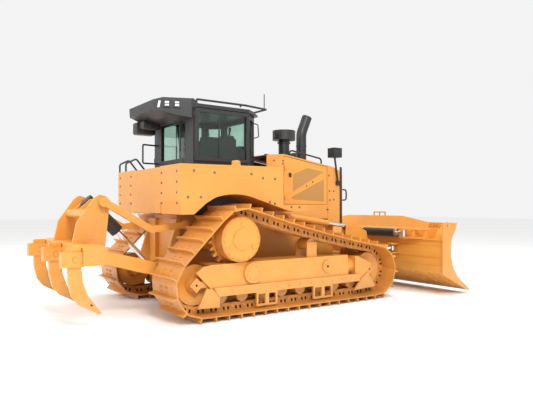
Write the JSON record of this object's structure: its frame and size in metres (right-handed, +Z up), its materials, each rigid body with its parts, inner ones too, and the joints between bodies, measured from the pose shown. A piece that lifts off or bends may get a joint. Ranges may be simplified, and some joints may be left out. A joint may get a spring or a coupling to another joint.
{
  "type": "track-type bulldozer",
  "caption": "Track-type bulldozer with a raised drive sprocket, a cab with a rear roof overhang, a power-angle-tilt blade and a multi-shank parallelogram ripper.",
  "frame": {"origin": "centre of the footprint's bounding box, on the ground that the grouser tips stand on", "axes": "+X forward towards the blade, +Y to the machine's left, +Z up"},
  "size_m": [6.897, 4.06, 3.49],
  "materials": {
    "black_paint": "satin black",
    "cab_plastic": "matte",
    "rod_chrome": "bright",
    "seat_cloth": "woven",
    "track_steel": "dark worn steel",
    "window_glass": "clear",
    "worn_steel": "polished by use",
    "yellow_paint": "satin machine yellow"
  },
  "bodies": {
    "tractor": {"main_frame": "yellow_paint", "engine": "black_paint", "rear_bracket": "yellow_paint", "rear_tank": "yellow_paint", "hood": "yellow_paint", "radiator_guard": "yellow_paint", "grille": "black_paint", "exhaust_stack": "black_paint", "precleaner": "black_paint", "cab_frame": "black_paint", "cab_roof": "black_paint", "cab_glass": "window_glass", "seat_base": "cab_plastic", "seat_cushion": "seat_cloth", "dash": "cab_plastic", "roof_rails": "black_paint", "handrails": "black_paint", "front_lamps": "black_paint", "filler_cap": "yellow_paint", "track_right": "track_steel", "idlers_right": "yellow_paint", "rollers_right": "yellow_paint", "final_drive_right": "yellow_paint", "track_frame_right": "yellow_paint", "fender_right": "yellow_paint", "track_left": "track_steel", "idlers_left": "yellow_paint", "rollers_left": "yellow_paint", "final_drive_left": "yellow_paint", "track_frame_left": "yellow_paint", "fender_left": "yellow_paint"},
    "cab_door_right": {"cab_door_right": "black_paint", "door_glass_right": "window_glass"},
    "engine_door_right": {"engine_door_right": "yellow_paint"},
    "lift_cylinder_right": {"lift_cylinder_right": "yellow_paint"},
    "lift_rod_right": {"lift_rod_right": "rod_chrome"},
    "angle_gimbal_right": {"angle_gimbal_right": "yellow_paint"},
    "angle_cylinder_right": {"angle_cylinder_right": "yellow_paint"},
    "angle_rod_right": {"angle_rod_right": "rod_chrome"},
    "cab_door_left": {"cab_door_left": "black_paint", "door_glass_left": "window_glass"},
    "engine_door_left": {"engine_door_left": "yellow_paint"},
    "lift_cylinder_left": {"lift_cylinder_left": "yellow_paint"},
    "lift_rod_left": {"lift_rod_left": "rod_chrome"},
    "angle_gimbal_left": {"angle_gimbal_left": "yellow_paint"},
    "angle_cylinder_left": {"angle_cylinder_left": "yellow_paint"},
    "angle_rod_left": {"angle_rod_left": "rod_chrome"},
    "push_frame": {"push_frame": "yellow_paint"},
    "blade_yoke": {"blade_yoke": "yellow_paint"},
    "blade": {"blade": "yellow_paint", "cutting_edge": "worn_steel"},
    "tilt_cylinder": {"tilt_cylinder": "black_paint"},
    "tilt_rod": {"tilt_rod": "rod_chrome"},
    "ripper_lower_links": {"ripper_lower_links": "yellow_paint"},
    "ripper_upper_links": {"ripper_upper_links": "yellow_paint"},
    "ripper_frame": {"ripper_frame": "yellow_paint", "ripper_shanks": "yellow_paint"},
    "ripper_cylinder": {"ripper_cylinder": "black_paint"},
    "ripper_rod": {"ripper_rod": "rod_chrome"}
  },
  "joints": [
    {"name": "blade_lift", "type": "hinge", "parent": "tractor", "child": "push_frame", "pos_m": [-0.19, 0, 0.52], "axis": [0, -1, 0], "range_deg": [-8, 17]},
    {"name": "lift_swing_right", "type": "hinge", "parent": "tractor", "child": "lift_cylinder_right", "pos_m": [0.33, -0.655, 1.4], "axis": [0, -1, 0], "range_deg": [-10.93, 23.17]},
    {"name": "lift_stroke_right", "type": "slide", "parent": "lift_cylinder_right", "child": "lift_rod_right", "axis": [0.9897, 0, -0.1433], "range_m": [-0.2616, 0.12337]},
    {"name": "lift_swing_left", "type": "hinge", "parent": "tractor", "child": "lift_cylinder_left", "pos_m": [0.33, 0.655, 1.4], "axis": [0, -1, 0], "range_deg": [-10.93, 23.17]},
    {"name": "lift_stroke_left", "type": "slide", "parent": "lift_cylinder_left", "child": "lift_rod_left", "axis": [0.9897, 0, -0.1433], "range_m": [-0.2616, 0.12337]},
    {"name": "blade_angle", "type": "hinge", "parent": "push_frame", "child": "blade_yoke", "pos_m": [2.47, 0, 0.64], "axis": [0, 0, 1], "range_deg": [-22, 22]},
    {"name": "angle_swing_right", "type": "hinge", "parent": "push_frame", "child": "angle_gimbal_right", "pos_m": [2, -0.42, 0.78], "axis": [0, 0, 1], "range_deg": [-19.3, 19.3]},
    {"name": "angle_tip_right", "type": "hinge", "parent": "angle_gimbal_right", "child": "angle_cylinder_right", "pos_m": [2, -0.42, 0.78], "axis": [-0.6353, -0.7723, 0], "range_deg": [-6.4, 6.4]},
    {"name": "angle_stroke_right", "type": "slide", "parent": "angle_cylinder_right", "child": "angle_rod_right", "axis": [0.7723, -0.6353, 0], "range_m": [-0.23549, 0.23549]},
    {"name": "angle_swing_left", "type": "hinge", "parent": "push_frame", "child": "angle_gimbal_left", "pos_m": [2, 0.42, 0.78], "axis": [0, 0, 1], "range_deg": [-19.3, 19.3]},
    {"name": "angle_tip_left", "type": "hinge", "parent": "angle_gimbal_left", "child": "angle_cylinder_left", "pos_m": [2, 0.42, 0.78], "axis": [0.6353, -0.7723, 0], "range_deg": [-6.4, 6.4]},
    {"name": "angle_stroke_left", "type": "slide", "parent": "angle_cylinder_left", "child": "angle_rod_left", "axis": [0.7723, 0.6353, 0], "range_m": [-0.23549, 0.23549]},
    {"name": "blade_tilt", "type": "hinge", "parent": "blade_yoke", "child": "blade", "pos_m": [2.7, 0, 0.64], "axis": [1, 0, 0], "range_deg": [-5.5, 5.5]},
    {"name": "tilt_swing", "type": "hinge", "parent": "blade_yoke", "child": "tilt_cylinder", "pos_m": [2.625, -0.12, 1.075], "axis": [1, 0, 0], "range_deg": [-6.16, 6.16]},
    {"name": "tilt_stroke", "type": "slide", "parent": "tilt_cylinder", "child": "tilt_rod", "axis": [0, -1, 0], "range_m": [-0.04216, 0.04216]},
    {"name": "ripper_lift", "type": "hinge", "parent": "tractor", "child": "ripper_lower_links", "pos_m": [-1.8, 0, 0.6], "axis": [0, 1, 0], "range_deg": [-35, 3]},
    {"name": "ripper_upper_swing", "type": "hinge", "parent": "tractor", "child": "ripper_upper_links", "pos_m": [-1.58, 0, 1.295], "axis": [0, 1, 0], "range_deg": [-35.05, 3.05]},
    {"name": "ripper_level", "type": "hinge", "parent": "ripper_lower_links", "child": "ripper_frame", "pos_m": [-3, 0, 0.934], "axis": [0, 1, 0], "range_deg": [-3.05, 35.05]},
    {"name": "ripper_cylinder_swing", "type": "hinge", "parent": "ripper_frame", "child": "ripper_cylinder", "pos_m": [-2.81, 0, 1.616], "axis": [0, 1, 0], "range_deg": [-30.5, 2.66]},
    {"name": "ripper_stroke", "type": "slide", "parent": "ripper_cylinder", "child": "ripper_rod", "axis": [0.7049, 0, -0.7093], "range_m": [-0.40245, 0.03495]},
    {"name": "cab_door_right_swing", "type": "hinge", "parent": "tractor", "child": "cab_door_right", "pos_m": [-1.482, -0.744, 2.65], "axis": [0, 0, -1], "range_deg": [0, 95]},
    {"name": "engine_door_right_swing", "type": "hinge", "parent": "tractor", "child": "engine_door_right", "pos_m": [0.331, -0.573, 1.95], "axis": [0, 0, -1], "range_deg": [0, 90]},
    {"name": "cab_door_left_swing", "type": "hinge", "parent": "tractor", "child": "cab_door_left", "pos_m": [-1.482, 0.744, 2.65], "axis": [0, 0, 1], "range_deg": [0, 95]},
    {"name": "engine_door_left_swing", "type": "hinge", "parent": "tractor", "child": "engine_door_left", "pos_m": [0.331, 0.573, 1.95], "axis": [0, 0, 1], "range_deg": [0, 90]}
  ],
  "couplings": [
    {"joint": "lift_swing_right", "follows": "blade_lift", "ratio": 1.36},
    {"joint": "lift_stroke_right", "follows": "blade_lift", "m_per_rad": -0.88},
    {"joint": "lift_swing_left", "follows": "blade_lift", "ratio": 1.36},
    {"joint": "lift_stroke_left", "follows": "blade_lift", "m_per_rad": -0.88},
    {"joint": "angle_swing_right", "follows": "blade_angle", "ratio": 0.875},
    {"joint": "angle_tip_right", "follows": "blade_tilt", "ratio": -1.154},
    {"joint": "angle_stroke_right", "follows": "blade_angle", "m_per_rad": 0.612},
    {"joint": "angle_swing_left", "follows": "blade_angle", "ratio": 0.875},
    {"joint": "angle_tip_left", "follows": "blade_tilt", "ratio": 1.154},
    {"joint": "angle_stroke_left", "follows": "blade_angle", "m_per_rad": -0.612},
    {"joint": "tilt_swing", "follows": "blade_tilt", "ratio": 1.11},
    {"joint": "tilt_stroke", "follows": "blade_tilt", "m_per_rad": 0.434},
    {"joint": "ripper_upper_swing", "follows": "ripper_lift", "ratio": 1},
    {"joint": "ripper_level", "follows": "ripper_lift", "ratio": -1},
    {"joint": "ripper_cylinder_swing", "follows": "ripper_lift", "ratio": 0.87},
    {"joint": "ripper_stroke", "follows": "ripper_lift", "m_per_rad": 0.658}
  ]
}
